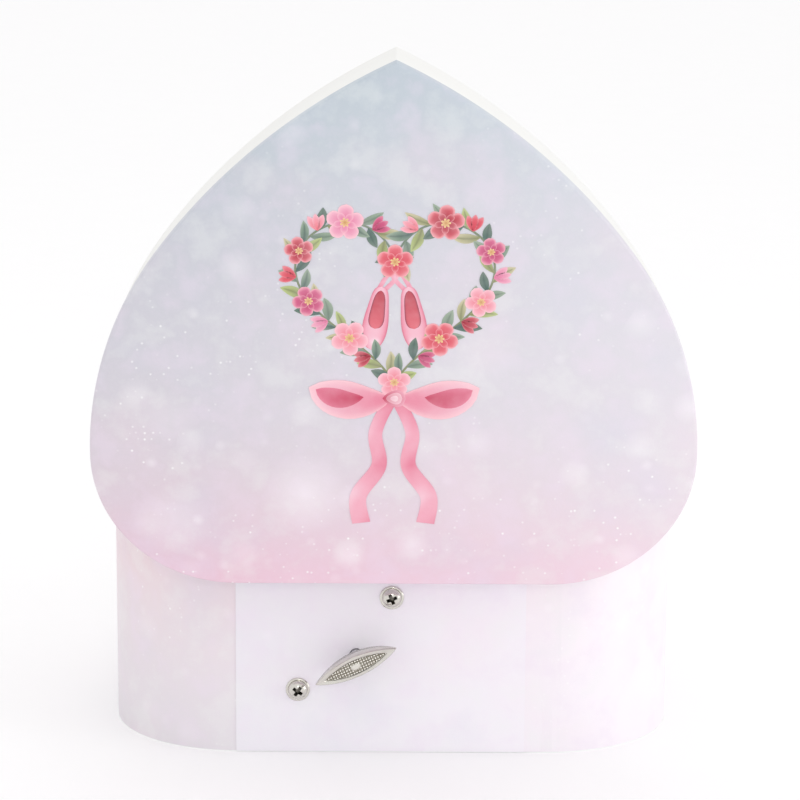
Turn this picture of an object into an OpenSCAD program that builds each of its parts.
// Heart-shaped musical jewellery box with a dancing ballerina.
// Board case and lid covered in printed paper, a wind-up comb movement screwed to the back wall,
// and a figure on a sprung spindle that folds down as the lid closes.
// Millimetres. X to the right seen from the front, front towards -Y, Z up, origin at the centre of the base.

/* [Case] */
// Width of the lid panel, the widest part of the box
lid_w = 180; // [170:1:190]
// Height of the case up to the lid
case_h = 66; // [64:0.5:72]
// Height of the lid, panel included
lid_h = 20.5; // [20:0.5:26]
// How far the lid panel stands out past the walls
overhang = 1.7; // [1:0.1:2.5]
// Thickness of the wall board
board = 2.2; // [1.8:0.1:2.4]
// Thickness of the lid panel board
panel_t = 3; // [2.5:0.1:3]
// Thickness of the base board
base_t = 2.5; // [2:0.1:3]
// Thickness of the printed covering paper
paper = 0.3; // [0.2:0.05:0.3]
// How far the lid stands open from closed, in degrees
open_angle = 102; // [95:1:105]

/* [Outline] */
// Half the length of the straight back edge
flat_half = 47.6; // [45:0.1:50]
// Radius of the flank arc that leads to the point of the heart
flank_r = 184.2; // [180:0.1:195]
// Radius of the shoulder arc
shoulder_r = 110.5; // [105:0.1:115]
// Angle that the shoulder arc turns through
shoulder_a = 35.1; // [33:0.1:37]

/* [Interior] */
// Height of the stage that the figure turns on
stage_z = 58.5; // [58:0.1:60]
// Half the distance between the long dividers
divider_half = 46; // [44:0.5:47]
// Number of ring rolls
roll_count = 5; // [4:1:6]
// Radius of one ring roll
roll_r = 3.8; // [3:0.1:3.9]

/* [Movement] */
// Distance of the key's axis from the centre plane
key_x = 11.1; // [11:0.1:11.2]
// Height of the key's axis
key_z = 31.7; // [31:0.1:32]
// Module of the gear teeth
tooth_m = 0.5; // [0.5]
// Teeth on each pinion of the cylinder shaft
pinion_n = 12; // [12]
// Teeth on the crown wheel of the spring barrel
barrel_n = 20; // [20]
// Teeth on the crown wheel of the figure's spindle
spindle_n = 16; // [16]
// Teeth on the cylinder gear
gear_n = 40; // [40]
// Teeth on the governor pinion
governor_n = 10; // [10]
// Teeth on the worm wheel
worm_n = 16; // [16]
// Notes in the comb
note_count = 18; // [18]

/* [Figure] */
// Radius of the tutu
tutu_r = 17.5; // [14:0.5:17.5]
// Height of the figure above its socket
figure_h = 58; // [50:1:60]

/* [Hidden] */
$fn = 48;

greyboard = [0.72, 0.68, 0.62];
printed = [0.90, 0.86, 0.91];
plain_white = [0.95, 0.95, 0.94];
velour = [0.90, 0.55, 0.66];
zinc = [0.66, 0.66, 0.67];
steel = [0.75, 0.75, 0.77];
brass = [0.80, 0.66, 0.35];
nylon = [0.93, 0.92, 0.88];
skin = [0.94, 0.78, 0.70];
tulle = [0.97, 0.80, 0.86];
satin = [0.93, 0.60, 0.70];
silver = [0.69, 0.77, 0.87];

wall_back = 81;                                  // outer face of the back wall
wall_in = overhang + paper + board;              // inset of the wall's inner face from the lid outline
lining_t = 0.5;                                  // thickness of the velour lining
lining_in = wall_in + lining_t;                  // inset of the lining's inner face
floor_z = base_t + lining_t;                     // top of the lined floor
hinge = [0, wall_back, case_h];                  // a point on the hinge line
lid_top = case_h + lid_h;                        // top of the closed lid
panel_z = lid_top - paper - panel_t;             // underside of the closed lid's panel
seat_gap = 0.2;                                  // gap between the closed lid and the case
crease = 0.5;                                    // length of the hinge strip left free on each side of the hinge line
strip_x = [-41.3, 48.4];                         // sides of the hinge strip

// ---------- outline of the heart ----------
lobe_r = lid_w / 2 - flat_half;
lobe_c = [flat_half, wall_back + overhang - lobe_r];
shoulder_c = [lid_w / 2 - shoulder_r, lobe_c.y];
flank_c = shoulder_c - (flank_r - shoulder_r) * [cos(shoulder_a), -sin(shoulder_a)];

function arc(c, r, a0, a1, n) = [for (i = [0:n]) let (a = a0 + (a1 - a0) * i / n) c + r * [cos(a), sin(a)]];
function flip(points) = [for (i = [len(points) - 1:-1:0]) [-points[i].x, points[i].y]];
// Right half of the outline, from the straight back edge round to just before the point, inset by d.
function half_heart(d) =
  let (r = flank_r - d, tip_a = acos(-flank_c.x / r))
  concat(
    arc(lobe_c, lobe_r - d, 90, 0, 22),
    [for (i = [1:12]) shoulder_c + (shoulder_r - d) * [cos(-shoulder_a * i / 12), sin(-shoulder_a * i / 12)]],
    [for (i = [1:13]) let (a = -(shoulder_a + (tip_a - shoulder_a) * i / 14)) flank_c + r * [cos(a), sin(a)]]
  );
function tip(d) = let (r = flank_r - d) [0, flank_c.y - r * sin(acos(-flank_c.x / r))];
function heart(d) = concat(half_heart(d), [tip(d)], flip(half_heart(d)));

module heart_plate(d, z0, z1) {
  translate([0, 0, z0]) linear_extrude(z1 - z0) polygon(heart(d));
}
module heart_shell(d_out, d_in, z0, z1) {
  translate([0, 0, z0]) linear_extrude(z1 - z0) difference() {
    polygon(heart(d_out));
    polygon(heart(d_in));
  }
}
// A box between two corners.
module block(low, high) {
  translate(low) cube(high - low);
}
// A cylinder along Y, from y0 to y1, centred on x and z.
module rod_y(x, z, r, y0, y1) {
  translate([x, y1, z]) rotate([90, 0, 0]) cylinder(r = r, h = y1 - y0);
}
// A cylinder along X, from x0 to x1, centred on y and z.
module rod_x(y, z, r, x0, x1) {
  translate([x0, y, z]) rotate([0, 90, 0]) cylinder(r = r, h = x1 - x0);
}
// Turns what is modelled on the closed lid to where the lid stands open.
module on_open_lid() {
  translate(hinge) rotate([-open_angle, 0, 0]) translate(-hinge) children();
}

// ---------- case ----------
hutch_y = 50;                                    // front face of the hutch that hides the movement
cross_y = 8;                                     // rear face of the cross divider
divider_t = 2;
divider_top = 56;
stage_t = 2;
screw_at = [[0.2, 50.3], [29.2, 20.5]];          // x and z of the two mounting screws
screw_clear_r = 1.7;
arbor_clear_r = 3;

module base_paper() {
  color(plain_white) heart_plate(overhang, 0, paper);
}
module base_board() {
  color(greyboard) heart_plate(overhang + paper, paper, base_t);
}
module wall_holes() {
  rod_y(key_x, key_z, arbor_clear_r, wall_back - 5, wall_back + 2);
  for (s = screw_at) rod_y(s[0], s[1], screw_clear_r, wall_back - 5, wall_back + 2);
}
module case_wall() {
  color(greyboard) difference() {
    heart_shell(overhang + paper, wall_in, base_t, case_h);
    wall_holes();
  }
}
module wall_wrap() {
  color(printed) difference() {
    heart_shell(overhang, overhang + paper, paper, case_h);
    wall_holes();
  }
}
module hinge_strip_case() {
  color(printed) difference() {
    block([strip_x[0], wall_back, paper], [strip_x[1], wall_back + paper, case_h - crease]);
    wall_holes();
  }
}
// The space behind the hutch, which the linings leave bare.
module hutch_space() {
  block([-divider_half, hutch_y, 0], [divider_half, wall_back + 5, case_h + 5]);
}
module case_lining() {
  color(velour) difference() {
    heart_shell(wall_in, lining_in, floor_z, case_h);
    hutch_space();
    for (s = [-1, 1]) translate([s * (divider_half + divider_t / 2), 0, 0])
      block([-divider_t / 2, -wall_back, 0], [divider_t / 2, wall_back, divider_top]);
  }
}
module floor_lining() {
  color(velour) difference() {
    heart_plate(wall_in, base_t, floor_z);
    hutch_space();
  }
}
module long_divider(side) {
  x0 = side > 0 ? divider_half : -divider_half - divider_t;
  color(velour) intersection() {
    heart_plate(wall_in, floor_z, divider_top);
    block([x0, -wall_back, 0], [x0 + divider_t, wall_back, case_h]);
  }
}
module divider_left() {
  long_divider(-1);
}
module divider_right() {
  long_divider(1);
}
module divider_cross() {
  color(velour) block([-divider_half, cross_y - divider_t, floor_z], [divider_half, cross_y, 44]);
}
module hutch_front() {
  color(velour)
    block([-divider_half, hutch_y, floor_z], [divider_half, hutch_y + divider_t, stage_z - stage_t]);
}
stop_x = -29.6;                                  // middle of the stop lever's thickness
stage_slot = [[stop_x - 1.4, 72, 50], [stop_x + 1.4, 80, 60]];
module stage_board() {
  color(velour) difference() {
    block([-divider_half, hutch_y, stage_z - stage_t], [divider_half, wall_back - paper - board, stage_z]);
    translate([spindle_x, axis_y, stage_z - 5]) cylinder(r = bush_r, h = 10);
    block(stage_slot[0], stage_slot[1]);
  }
}

// ---------- ring cushion ----------
bed_top = 33;
bed_front = cross_y + 0.3;
bed_back = hutch_y - 0.3;
roll_pitch = (bed_back - bed_front - 2 * roll_r - 1) / (roll_count - 1);
module ring_bed() {
  color(velour) block([-divider_half + 0.4, bed_front, floor_z], [divider_half - 0.4, bed_back, bed_top]);
}
module ring_rolls() {
  color(velour) for (i = [0:roll_count - 1])
    rod_x(bed_front + roll_r + 0.5 + i * roll_pitch, bed_top + roll_r, roll_r,
          -divider_half + 1, divider_half - 1);
}

// ---------- movement ----------
plate_t = 2.2;
plate_y = wall_back - paper - board - plate_t;   // inner face of the bedplate; the movement builds towards -Y from it
axis_w = 12;                                     // distance of the cylinder shaft from the bedplate
axis_y = plate_y - axis_w;
pinion_r = tooth_m * pinion_n / 2;
barrel_crown_r = tooth_m * barrel_n / 2;
spindle_crown_r = tooth_m * spindle_n / 2;
pinion_x = key_x - barrel_crown_r;               // middle of the pinion that the barrel drives
spindle_pinion_x = -3.9;                         // middle of the pinion that drives the spindle
spindle_x = spindle_pinion_x + spindle_crown_r;
governor_z = key_z + tooth_m * (gear_n + governor_n) / 2;
crown_gap = 0.62;                                // from the pitch circle to a crown wheel's face
crown_face_w = axis_w - pinion_r - crown_gap;    // distance of the barrel's crown face from the bedplate
crown_tooth_h = 0.9;
crown_tooth_t = 0.44;
crown_tooth_l = 1.6;
arbor_r = 2;
running = 0.05;                                  // radial clearance of a shaft in its bearing
shaft_r = 1;
bush_r = 3.4;
spindle_r = 1.5;

// Outline of a spur gear with slim straight-sided teeth. Its first tooth points along +X turned by phase.
function gear_outline(n, phase) = [
  for (i = [0:n - 1]) each
    let (r = tooth_m * n / 2, p = 360 / n, a = phase + i * p)
    [for (c = [[r - 0.6, -0.27], [r + 0.38, -0.13], [r + 0.38, 0.13], [r - 0.6, 0.27]])
      c[0] * [cos(a + c[1] * p), sin(a + c[1] * p)]]
];
// A gear along X, from x0 to x1, centred on y and z, whose phase is measured from +Y towards +Z.
module gear_x(n, phase, y, z, x0, x1, bore) {
  translate([x0, y, z]) rotate([90, 0, 90]) linear_extrude(x1 - x0) difference() {
    polygon(gear_outline(n, phase));
    circle(r = bore);
  }
}
// Radial teeth standing on the plane z = 0, round the Z axis, with the first along +X.
module crown_teeth(n) {
  for (i = [0:n - 1]) rotate([0, 0, i * 360 / n])
    block([tooth_m * n / 2 - crown_tooth_l / 2, -crown_tooth_t / 2, -0.2],
          [tooth_m * n / 2 + crown_tooth_l / 2, crown_tooth_t / 2, crown_tooth_h]);
}
// A plate on the XZ plane with round corners, from y0 to y1.
module round_plate(x0, x1, z0, z1, y0, y1, r) {
  block([x0 + r, y0, z0], [x1 - r, y1, z1]);
  block([x0, y0, z0 + r], [x1, y1, z1 - r]);
  for (x = [x0 + r, x1 - r], z = [z0 + r, z1 - r]) rod_y(x, z, r, y0, y1);
}
music_x = -12.75;                                // middle of the comb and of the tune cylinder
comb_seat = [[music_x - 8.8, plate_y - axis_w + 0.5, 10.5], [music_x + 8.2, plate_y, 16.5]];
comb_screw_x = [music_x - 5.5, music_x + 4.9];
stop_z = 44;
stop_w = 3.3;
module bedplate() {
  color(zinc) difference() {
    union() {
      round_plate(music_x - 19.3, 35.5, 9.5, 55.5, plate_y, plate_y + plate_t, 4);
      block(comb_seat[0], comb_seat[1] + [0, 0.5, 0]);
      block([stop_x + 1.4, plate_y - 6, 41.5], [stop_x + 2.8, plate_y + 0.5, 46.5]);
      for (s = screw_at) rod_y(s[0], s[1], 3, plate_y - 1.2, plate_y + 0.5);
    }
    rod_y(key_x, key_z, arbor_r + running, plate_y - 1, plate_y + plate_t + 1);
    for (s = screw_at) rod_y(s[0], s[1], 1.3, plate_y - 3, plate_y + plate_t + 1);
    for (x = comb_screw_x) rod_y(x, 13.5, 0.85, axis_y - 1, axis_y + 6);
    rod_x(plate_y - stop_w, stop_z, 0.8, stop_x, stop_x + 5);
  }
}
screw_head_y = wall_back + paper + 0.6;          // underside of the mounting screws' heads
module mounting_screws() {
  color(steel) for (s = screw_at) difference() {
    union() {
      translate([s[0], screw_head_y, s[1]]) rotate([-90, 0, 0]) rotate_extrude()
        polygon([[0, 0], [3.0, 0], [3.0, 0.5], [2.75, 1.15], [2.2, 1.65], [1.2, 1.95], [0, 2.0]]);
      rod_y(s[0], s[1], 1.25, plate_y - 1.2, screw_head_y + 0.5);
    }
    for (turn = [0, 90]) translate([s[0], screw_head_y + 2.2, s[1]]) rotate([0, turn + 18, 0])
      block([-1.6, -1.5, -0.35], [1.6, 0.5, 0.35]);
  }
}
module screw_washers() {
  color(steel) for (s = screw_at) difference() {
    rod_y(s[0], s[1], 3.75, wall_back + paper, screw_head_y);
    rod_y(s[0], s[1], 1.5, wall_back, screw_head_y + 1);
  }
}

// Comb: one steel plate, its teeth sawn from the upper edge, the bass teeth longest.
cylinder_r = 6.2;
pin_h = 0.5;
comb_x = [music_x - 8.4, music_x + 7.8];
comb_tip_z = key_z - cylinder_r - pin_h - 0.15;
note_pitch = 0.8;
function note_x(i) = music_x + (i - (note_count - 1) / 2) * note_pitch;
module comb() {
  color(steel) difference() {
    block([comb_x[0], axis_y - 0.5, 10.5], [comb_x[1], axis_y + 0.5, comb_tip_z]);
    for (i = [-1:note_count - 1])
      block([note_x(i) + note_pitch / 2 - 0.12, axis_y - 1, 17 + 0.09 * i],
            [note_x(i) + note_pitch / 2 + 0.12, axis_y + 1, comb_tip_z + 1]);
    block([comb_x[0] - 1, axis_y - 1, 17], [note_x(0) - note_pitch / 2, axis_y + 1, 30]);
    block([note_x(note_count - 1) + note_pitch / 2, axis_y - 1, 17], [comb_x[1] + 1, axis_y + 1, 30]);
    for (x = comb_screw_x) rod_y(x, 13.5, 1.2, axis_y - 1, axis_y + 1);
  }
}
module comb_screws() {
  color(steel) for (x = comb_screw_x) difference() {
    union() {
      rod_y(x, 13.5, 0.8, axis_y - 1, axis_y + 4);
      rod_y(x, 13.5, 1.8, axis_y - 1.7, axis_y - 0.5);
    }
    block([x - 2, axis_y - 2, 13.5 - 0.25], [x + 2, axis_y - 1.2, 13.5 + 0.25]);
  }
}

// Cylinder and its shaft
cylinder_x = [music_x - 7.3, music_x + 7.3];
gear_x0 = music_x - 10.6;
gear_x1 = music_x - 9.2;
module tune_cylinder() {
  color(brass) difference() {
    union() {
      rod_x(axis_y, key_z, cylinder_r, cylinder_x[0], cylinder_x[1]);
      for (i = [0:note_count - 1], k = [0:2])
        let (a = (i * 137 + k * 113 + i * k * 41) % 360)
        translate([note_x(i), axis_y, key_z]) rotate([a, 0, 0]) translate([0, 0, cylinder_r - 0.2])
          cylinder(r = 0.19, h = pin_h + 0.2, $fn = 6);
    }
    rod_x(axis_y, key_z, cylinder_r - 0.8, cylinder_x[0] + 1, cylinder_x[1] - 1);
    rod_x(axis_y, key_z, shaft_r, cylinder_x[0] - 1, cylinder_x[1] + 1);
  }
}
module cylinder_shaft() {
  color(steel) rod_x(axis_y, key_z, shaft_r, music_x - 13.2, pinion_x + 1.9);
}
module drive_pinions() {
  color(steel) for (x = [[pinion_x, 1], [spindle_pinion_x, 0.8]])
    gear_x(pinion_n, 180 / pinion_n, axis_y, key_z, x[0] - x[1], x[0] + x[1], shaft_r);
}
module cylinder_gear() {
  color(brass) gear_x(gear_n, 90, axis_y, key_z, gear_x0, gear_x1, shaft_r);
}
// A bearing bracket that stands on the bedplate, with a bore along X.
module bearing_x(x0, x1, z, z_low, z_high, reach, bore) {
  difference() {
    block([x0, plate_y - reach, z_low], [x1, plate_y, z_high]);
    rod_x(axis_y, z, bore, x0 - 1, x1 + 1);
  }
}
module cylinder_brackets() {
  color(zinc) {
    bearing_x(music_x - 12.6, music_x - 11.4, key_z, 28, 35.4, 15, shaft_r + running);
    bearing_x(-1.6, -0.4, key_z, 28, 33.9, 15, shaft_r + running);
  }
}

// Spring barrel, wound by the key's arbor
barrel_r = 11;
barrel_w0 = 0.6;
barrel_lid_w = 6.4;
module spring_barrel() {
  color(brass) difference() {
    rod_y(key_x, key_z, barrel_r, plate_y - barrel_lid_w, plate_y - barrel_w0);
    rod_y(key_x, key_z, barrel_r - 0.8, plate_y - barrel_lid_w - 1, plate_y - barrel_w0 - 0.8);
    rod_y(key_x, key_z, arbor_r + running, plate_y - 20, plate_y + 2);
  }
}
module crown_wheel() {
  color(brass) difference() {
    union() {
      rod_y(key_x, key_z, barrel_r, plate_y - barrel_lid_w - 0.5, plate_y - barrel_lid_w);
      rod_y(key_x, key_z, barrel_crown_r + 1.2, plate_y - crown_face_w, plate_y - barrel_lid_w);
      translate([key_x, plate_y - crown_face_w, key_z]) rotate([90, 0, 0]) rotate([0, 0, 180])
        crown_teeth(barrel_n);
    }
    rod_y(key_x, key_z, arbor_r + running, plate_y - 20, plate_y + 2);
  }
}
// Mainspring, a flat spiral at half wind
spring_turns = 6;
spring_in = 2.6;
spring_out = 9.9;
spring_t = 0.4;
function spiral(i, side) =
  let (a = 15 * i, r = spring_in + (spring_out - spring_in) * i / (spring_turns * 24) + side * spring_t / 2)
  r * [cos(a), sin(a)];
module mainspring() {
  steps = spring_turns * 24;
  color(steel) translate([key_x, plate_y - 1.8, key_z]) rotate([90, 0, 0]) linear_extrude(barrel_lid_w - 2.2)
    polygon(concat([for (i = [0:steps]) spiral(i, 1)], [for (i = [steps:-1:0]) spiral(i, -1)]));
}

// Key and its arbor
key_l = 27.4;
key_wide = 6.6;
key_face_y = wall_back + 12.8;                   // outer face of the key's bar
key_bar_h = 6.2;                                 // depth of the bar at its middle
key_turn = 25.6;                                 // slope of the bar from the horizontal
module lens(length, width, y0, y1) {
  r = (length * length + width * width) / (4 * width);
  intersection() {
    rod_y(0, r - width / 2, r, y0, y1);
    rod_y(0, width / 2 - r, r, y0, y1);
  }
}
module winding_key() {
  back_r = 24;
  color(steel) translate([key_x, 0, key_z]) rotate([0, key_turn, 0]) difference() {
    union() {
      intersection() {
        lens(key_l, key_wide, key_face_y - key_bar_h, key_face_y, $fn = 96);
        translate([0, key_face_y - key_bar_h + back_r, -10]) cylinder(r = back_r, h = 20, $fn = 96);
      }
      rod_y(0, 0, 2.9, wall_back + 2.2, key_face_y - 3);
    }
    difference() {
      lens(key_l - 6.5, key_wide - 2.2, key_face_y - 0.5, key_face_y + 1, $fn = 96);
      rod_y(0, 0, 1.5, key_face_y - 1, key_face_y - 0.15);
    }
    rod_y(0, 0, arbor_r, wall_back, wall_back + 8);
  }
}
module key_arbor() {
  color(steel) rod_y(key_x, key_z, arbor_r, plate_y - 9.4, wall_back + 8);
}
module arbor_circlip() {
  color(steel) difference() {
    rod_y(key_x, key_z, 3.2, plate_y - 9.3, plate_y - 8.6);
    rod_y(key_x, key_z, arbor_r, plate_y - 12, plate_y);
    block([key_x - 0.7, plate_y - 12, key_z], [key_x + 0.7, plate_y, key_z + 5]);
  }
}
// Click spring: close turns of wire round the arbor in the wall's clearance hole, its tail hooked on the bedplate.
// It grips when the mainspring pulls and slips when the key is wound.
wire_r = 0.3;
click_turns = 2;
function coil_point(i, r, pitch, per_turn) =
  let (a = 360 * i / per_turn) [r * cos(a), r * sin(a), pitch * i / per_turn];
// Rings of a round tube of radius t that follows points on a coil round Z.
function coil_rings(r, pitch, turns, t, per_turn, sides) = [
  for (i = [0:turns * per_turn], k = [0:sides - 1])
    let (c = coil_point(i, r, pitch, per_turn), a = 360 * i / per_turn, b = 360 * k / sides)
    c + t * [cos(a) * cos(b), sin(a) * cos(b), sin(b)]
];
function tube_faces(rings, sides) = concat(
  [[for (k = [0:sides - 1]) k]],
  [for (i = [0:rings - 2], k = [0:sides - 1])
    [i * sides + k, (i + 1) * sides + k, (i + 1) * sides + (k + 1) % sides, i * sides + (k + 1) % sides]],
  [[for (k = [sides - 1:-1:0]) (rings - 1) * sides + k]]
);
module coil(r, pitch, turns, t, per_turn, sides) {
  polyhedron(points = coil_rings(r, pitch, turns, t, per_turn, sides),
             faces = tube_faces(turns * per_turn + 1, sides), convexity = 6);
}
module click_spring() {
  color(steel) translate([key_x, plate_y + plate_t + 0.35, key_z]) rotate([-90, 0, 0])
    coil(arbor_r + 0.1 + wire_r, 0.65, click_turns, wire_r, 24, 8);
}

// Governor: pinion and worm wheel on one arbor, a worm shaft with a fan, and their frame
worm_x = music_x - 4.4;
worm_r = 1.2;
worm_z = governor_z + tooth_m * worm_n / 2 + worm_r;
worm_lead = PI * tooth_m;
governor_r = 0.7;
frame_x = [music_x - 13.4, music_x + 2.4];
module governor_arbor() {
  color(steel) {
    rod_x(axis_y, governor_z, governor_r, frame_x[0], frame_x[1] + 1);
    gear_x(governor_n, 90 + 180 / governor_n, axis_y, governor_z, gear_x0 - 0.2, gear_x1 + 0.2, governor_r - 0.2);
  }
}
module worm_wheel() {
  color(nylon) gear_x(worm_n, 90, axis_y, governor_z, worm_x - 0.6, worm_x + 0.6, governor_r);
}
worm_turns = 5;
// A round bar off the axis, twisted once round per lead, leaves a thread of even depth.
module worm_thread() {
  translate([0, 0, -worm_lead * worm_turns / 2])
    linear_extrude(worm_lead * worm_turns, twist = -360 * worm_turns, slices = 18 * worm_turns)
      translate([0.45, 0]) circle(r = 1, $fn = 20);
}
module worm_shaft() {
  color(steel) translate([worm_x, axis_y, worm_z]) rotate([-90, 0, 0]) {
    translate([0, 0, -11.2]) cylinder(r = 0.5, h = 22.6);
    rotate([0, 0, 90]) worm_thread();
  }
}
fan_r = 3.1;
module fly_fan() {
  color(nylon) translate([worm_x, axis_y - 9.9, worm_z]) rotate([-90, 0, 0]) difference() {
    union() {
      cylinder(r = 1.2, h = 4.4);
      block([-fan_r, -0.25, 0.4], [fan_r, 0.25, 4]);
    }
    translate([0, 0, -1]) cylinder(r = 0.5, h = 8);
  }
}
module governor_frame() {
  color(zinc) difference() {
    union() {
      block([frame_x[0], plate_y - 1.2, 41], [frame_x[1] + 1.2, plate_y, 54.6]);
      block([frame_x[0], plate_y - 15, 41.6], [frame_x[0] + 1, plate_y, 46.8]);
      block([frame_x[1] + 0.2, plate_y - 23.6, 41.6], [frame_x[1] + 1.2, plate_y, 52]);
      block([worm_x - 1.6, plate_y - 23.6, worm_z - 1.8], [frame_x[1] + 1.2, plate_y - 22.6, worm_z + 1.8]);
    }
    rod_x(axis_y, governor_z, governor_r + running, frame_x[0] - 1, frame_x[1] + 2);
    rod_y(worm_x, worm_z, 0.5 + running, plate_y - 30, plate_y - 0.3);
  }
}
module governor_screws() {
  color(steel) for (x = [frame_x[0] + 2.9, frame_x[1] - 1.6]) difference() {
    rod_y(x, 51.6, 1.3, plate_y - 2, plate_y - 1.2);
    block([x - 1.5, plate_y - 2.5, 51.4], [x + 1.5, plate_y - 1.7, 51.8]);
  }
}

// Stop lever: pivots on a pin; its tall arm is pushed forward by the closing lid and its finger drops into the fan.
module stop_pivot() {
  color(steel) rod_x(plate_y - stop_w, stop_z, 0.75, stop_x - 1.4, stop_x + 2.7);
}
module stop_lever() {
  x0 = stop_x - 0.6;
  x1 = stop_x + 0.6;
  y0 = plate_y - stop_w;
  color(steel) difference() {
    union() {
      translate([x0, 0, 0]) rotate([90, 0, 90]) linear_extrude(x1 - x0) polygon([
        [y0 - 2, stop_z - 2], [y0 + 2, stop_z - 2], [y0 + 2, stop_z + 2], [75.8, 56], [77, 63],
        [77.8, 66.5], [80.2, 71.5], [79.4, 72.5], [78.2, 72], [76, 67], [75, 62], [74, 56], [y0 + 0.2, 48],
        [axis_y - 6, 54.8], [axis_y - 8.6, 55.6], [axis_y - 8.6, 54.6], [axis_y - 6, 53.8]]);
      block([x0, axis_y - 8.6, 54.6], [worm_x - 1, axis_y - 7.4, 55.6]);
    }
    rod_x(y0, stop_z, 0.8, x0 - 1, x1 + 1);
  }
}

// Spindle: a crown wheel over the drive pinion turns the shaft that carries the turntable.
crown_face_z = key_z + pinion_r + crown_gap;
module spindle_bracket() {
  color(zinc) difference() {
    block([spindle_x - 3, axis_y - 3, 43.2], [spindle_x + 3, plate_y, 46.2]);
    translate([spindle_x, axis_y, 40]) cylinder(r = spindle_r + running, h = 10);
  }
}
module spindle_shaft() {
  color(steel) translate([spindle_x, axis_y, crown_face_z])
    cylinder(r = spindle_r, h = turntable_z + 0.4 - crown_face_z);
}
module spindle_crown() {
  color(nylon) translate([spindle_x, axis_y, 0]) difference() {
    union() {
      translate([0, 0, crown_face_z]) cylinder(r = 5.1, h = 1.4);
      translate([0, 0, crown_face_z]) cylinder(r = 2.8, h = 4);
      translate([0, 0, crown_face_z]) mirror([0, 0, 1]) crown_teeth(spindle_n);
    }
    translate([0, 0, crown_face_z]) cylinder(r = spindle_r, h = 10);
  }
}
module spindle_collar() {
  color(nylon) translate([spindle_x, axis_y, 46.3]) difference() {
    cylinder(r = 2.8, h = 1.6);
    translate([0, 0, -1]) cylinder(r = spindle_r, h = 4);
  }
}
module spindle_bush() {
  color(nylon) translate([spindle_x, axis_y, 0]) difference() {
    union() {
      translate([0, 0, stage_z - stage_t - 0.8]) cylinder(r = bush_r - 0.05, h = stage_t + 0.8);
      translate([0, 0, stage_z]) cylinder(r = 4.6, h = 0.5);
    }
    translate([0, 0, stage_z - 6]) cylinder(r = spindle_r + running, h = 10);
  }
}
turntable_z = stage_z + 0.8;
turntable_t = 1.4;
module turntable() {
  color(nylon) translate([spindle_x, axis_y, turntable_z]) rotate_extrude()
    polygon([[0, 0.4], [spindle_r, 0.4], [spindle_r, 0], [8.5, 0], [8.8, 0.3], [8.8, 0.9], [8.3, turntable_t],
             [2, turntable_t], [1.7, 2.6], [0, 2.6]]);
}

// ---------- figure ----------
spring_z = turntable_z + turntable_t + 0.35;
figure_coil_r = 2.5;
coil_turns = 6;
coil_pitch = 1.05;
socket_z = spring_z + coil_turns * coil_pitch + 0.3;
module figure_spring() {
  color(steel) translate([spindle_x, axis_y, spring_z]) coil(figure_coil_r, coil_pitch, coil_turns, 0.3, 20, 8);
}
module figure_socket() {
  color(nylon) translate([spindle_x, axis_y, socket_z + 0.05]) cylinder(r1 = 2.8, r2 = 2.2, h = 2.4);
}
waist_z = socket_z + 29;
module figurine() {
  // half widths of legs, hips, waist, chest, neck and head from the toes up
  profile = [[0, 0], [0.9, 0], [1.3, 3], [1.7, 9], [2.0, 16], [2.9, 24], [3.0, 27], [2.3, 30], [2.9, 35],
             [2.6, 38], [1.1, 39.5], [1.1, 41], [2.6, 42.2], [3.2, 44.6], [3.0, 47.4], [1.8, 49.4], [0, 50]];
  color(skin) translate([spindle_x, axis_y, socket_z + 2.45]) {
    rotate_extrude($fn = 40) polygon(profile);
    for (s = [-1, 1]) {
      hull() {
        translate([s * 2.6, 0, 37]) sphere(r = 1.1, $fn = 14);
        translate([s * 6.4, -0.8, 46]) sphere(r = 0.9, $fn = 14);
      }
      hull() {
        translate([s * 6.4, -0.8, 46]) sphere(r = 0.9, $fn = 14);
        translate([s * 1.2, -0.8, figure_h - 4]) sphere(r = 0.7, $fn = 14);
      }
    }
  }
}
module tutu() {
  color(tulle) translate([spindle_x, axis_y, waist_z]) rotate_extrude($fn = 60)
    polygon([[3.15, -0.6], [9, 0.2], [tutu_r, -0.4], [tutu_r, 0.4], [9, 2.0], [3.15, 1.9]]);
}

// ---------- lid ----------
module lid_panel() {
  color(greyboard) on_open_lid() heart_plate(paper, panel_z, panel_z + panel_t);
}
module panel_cover() {
  color(printed) on_open_lid() difference() {
    heart_plate(0, panel_z, lid_top);
    heart_plate(paper, panel_z - 1, panel_z + panel_t);
  }
}
module lid_rim() {
  color(greyboard) on_open_lid() heart_shell(overhang + paper, wall_in, case_h + seat_gap, panel_z);
}
module rim_wrap() {
  color(plain_white) on_open_lid() heart_shell(overhang, overhang + paper, case_h + seat_gap, panel_z);
}
module hinge_strip_lid() {
  color(printed) on_open_lid()
    block([strip_x[0], wall_back, case_h + crease], [strip_x[1], wall_back + paper, panel_z]);
}
module lid_lining() {
  color(velour) on_open_lid() heart_plate(wall_in, panel_z - lining_t, panel_z);
}
mirror_t = 1.2;
mirror_in = 16;
module lid_mirror() {
  color(silver) on_open_lid() heart_plate(mirror_in, panel_z - lining_t - mirror_t, panel_z - lining_t);
}

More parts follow.
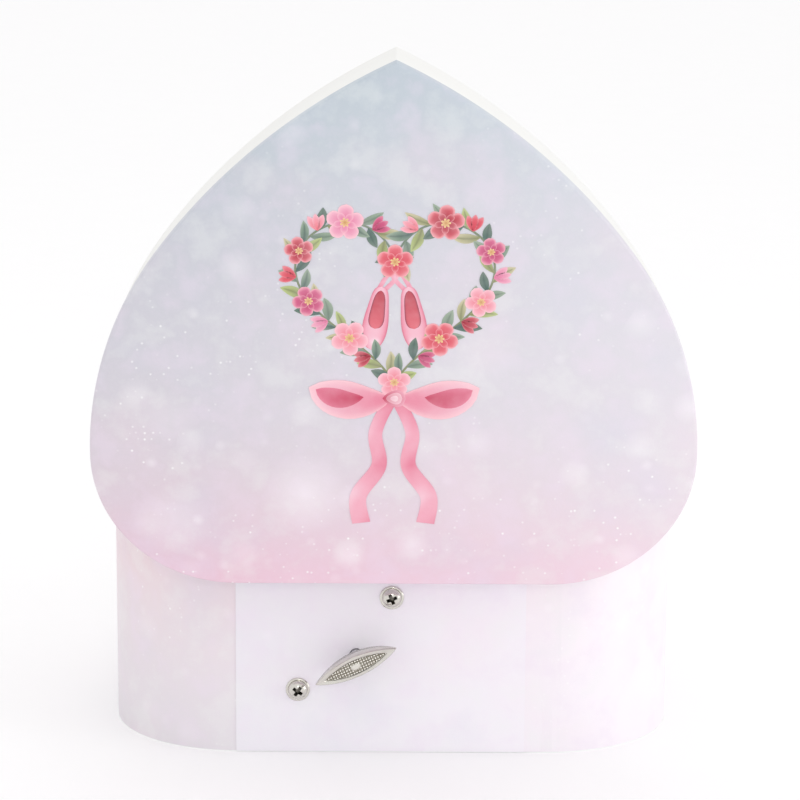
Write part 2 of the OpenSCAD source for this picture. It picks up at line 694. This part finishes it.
// ---------- lid stay ----------
// A satin ribbon from the case wall to the lid rim, taut when the lid stands open. Its ends are glued under tabs.
ribbon_w = 10;
ribbon_t = 0.4;
stay_x = -83.2;                                  // plane that the ribbon hangs in
case_end = [30, 57];                             // y and z of its end on the case
lid_end = [30, case_h + 9];                      // y and z of its end on the closed lid
function opened(p) =
  let (dy = p[0] - wall_back, dz = p[1] - case_h)
  [wall_back + dy * cos(open_angle) + dz * sin(open_angle), case_h - dy * sin(open_angle) + dz * cos(open_angle)];
module stay_ribbon() {
  a = case_end;
  b = opened(lid_end);
  u = (b - a) / norm(b - a);
  n = [-u[1], u[0]] * ribbon_w / 2;
  color(satin) translate([stay_x - ribbon_t / 2, 0, 0]) rotate([90, 0, 90]) linear_extrude(ribbon_t)
    polygon([a - n, b - n, b + n, a + n]);
}
tab_r = 7;
module tab(centre, t) {
  translate([stay_x - ribbon_t / 2, centre[0], centre[1]]) rotate([0, -90, 0]) cylinder(r = tab_r, h = t);
}
module ribbon_tab_case() {
  color(velour) tab(case_end, 0.5);
}
module ribbon_tab_lid() {
  color(velour) on_open_lid() tab(lid_end, 1);
}

base_paper();
base_board();
case_wall();
wall_wrap();
hinge_strip_case();
case_lining();
floor_lining();
divider_left();
divider_right();
divider_cross();
hutch_front();
stage_board();
spindle_bush();
ring_bed();
ring_rolls();
bedplate();
mounting_screws();
screw_washers();
comb();
comb_screws();
cylinder_brackets();
spindle_bracket();
governor_frame();
governor_screws();
click_spring();
stop_pivot();
winding_key();
key_arbor();
arbor_circlip();
spring_barrel();
mainspring();
crown_wheel();
tune_cylinder();
cylinder_shaft();
drive_pinions();
cylinder_gear();
governor_arbor();
worm_wheel();
worm_shaft();
fly_fan();
stop_lever();
spindle_shaft();
spindle_crown();
spindle_collar();
turntable();
figure_spring();
figure_socket();
figurine();
tutu();
lid_panel();
panel_cover();
lid_rim();
rim_wrap();
hinge_strip_lid();
lid_lining();
lid_mirror();
stay_ribbon();
ribbon_tab_case();
ribbon_tab_lid();
